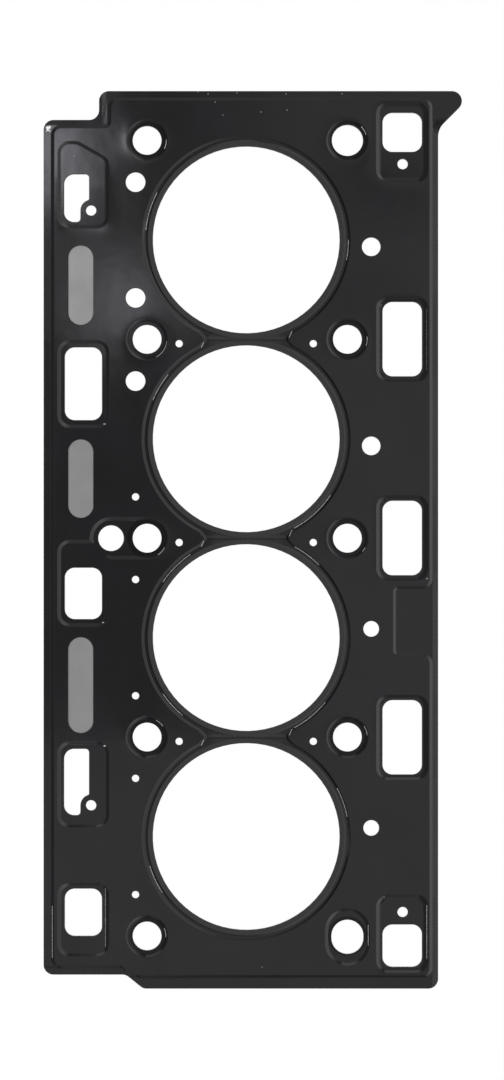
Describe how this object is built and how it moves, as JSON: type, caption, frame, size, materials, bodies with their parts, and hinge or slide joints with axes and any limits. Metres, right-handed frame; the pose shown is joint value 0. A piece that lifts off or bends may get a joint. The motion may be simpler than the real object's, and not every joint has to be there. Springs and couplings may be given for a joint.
{
  "type": "cylinder head gasket",
  "caption": "Multi-layer steel cylinder head gasket: two black coated spring sheets pressed into beads, a bare flat carrier between them, and openings for cylinders, bolts, oil and coolant.",
  "frame": {"origin": "middle of the pattern of head bolt holes, on the plane of the engine block that the lower beads rest on", "axes": "+X across the row of cylinders, +Y along the row, +Z towards the cylinder head"},
  "size_m": [0.2029, 0.4354, 0.0016],
  "materials": {
    "black_coating": "satin",
    "bare_steel": "satin"
  },
  "bodies": {
    "root": {"upper_layer": "black_coating", "middle_layer": "bare_steel", "lower_layer": "black_coating", "stopper_ring_1": "bare_steel", "stopper_ring_2": "bare_steel", "stopper_ring_3": "bare_steel", "stopper_ring_4": "bare_steel"}
  },
  "joints": []
}
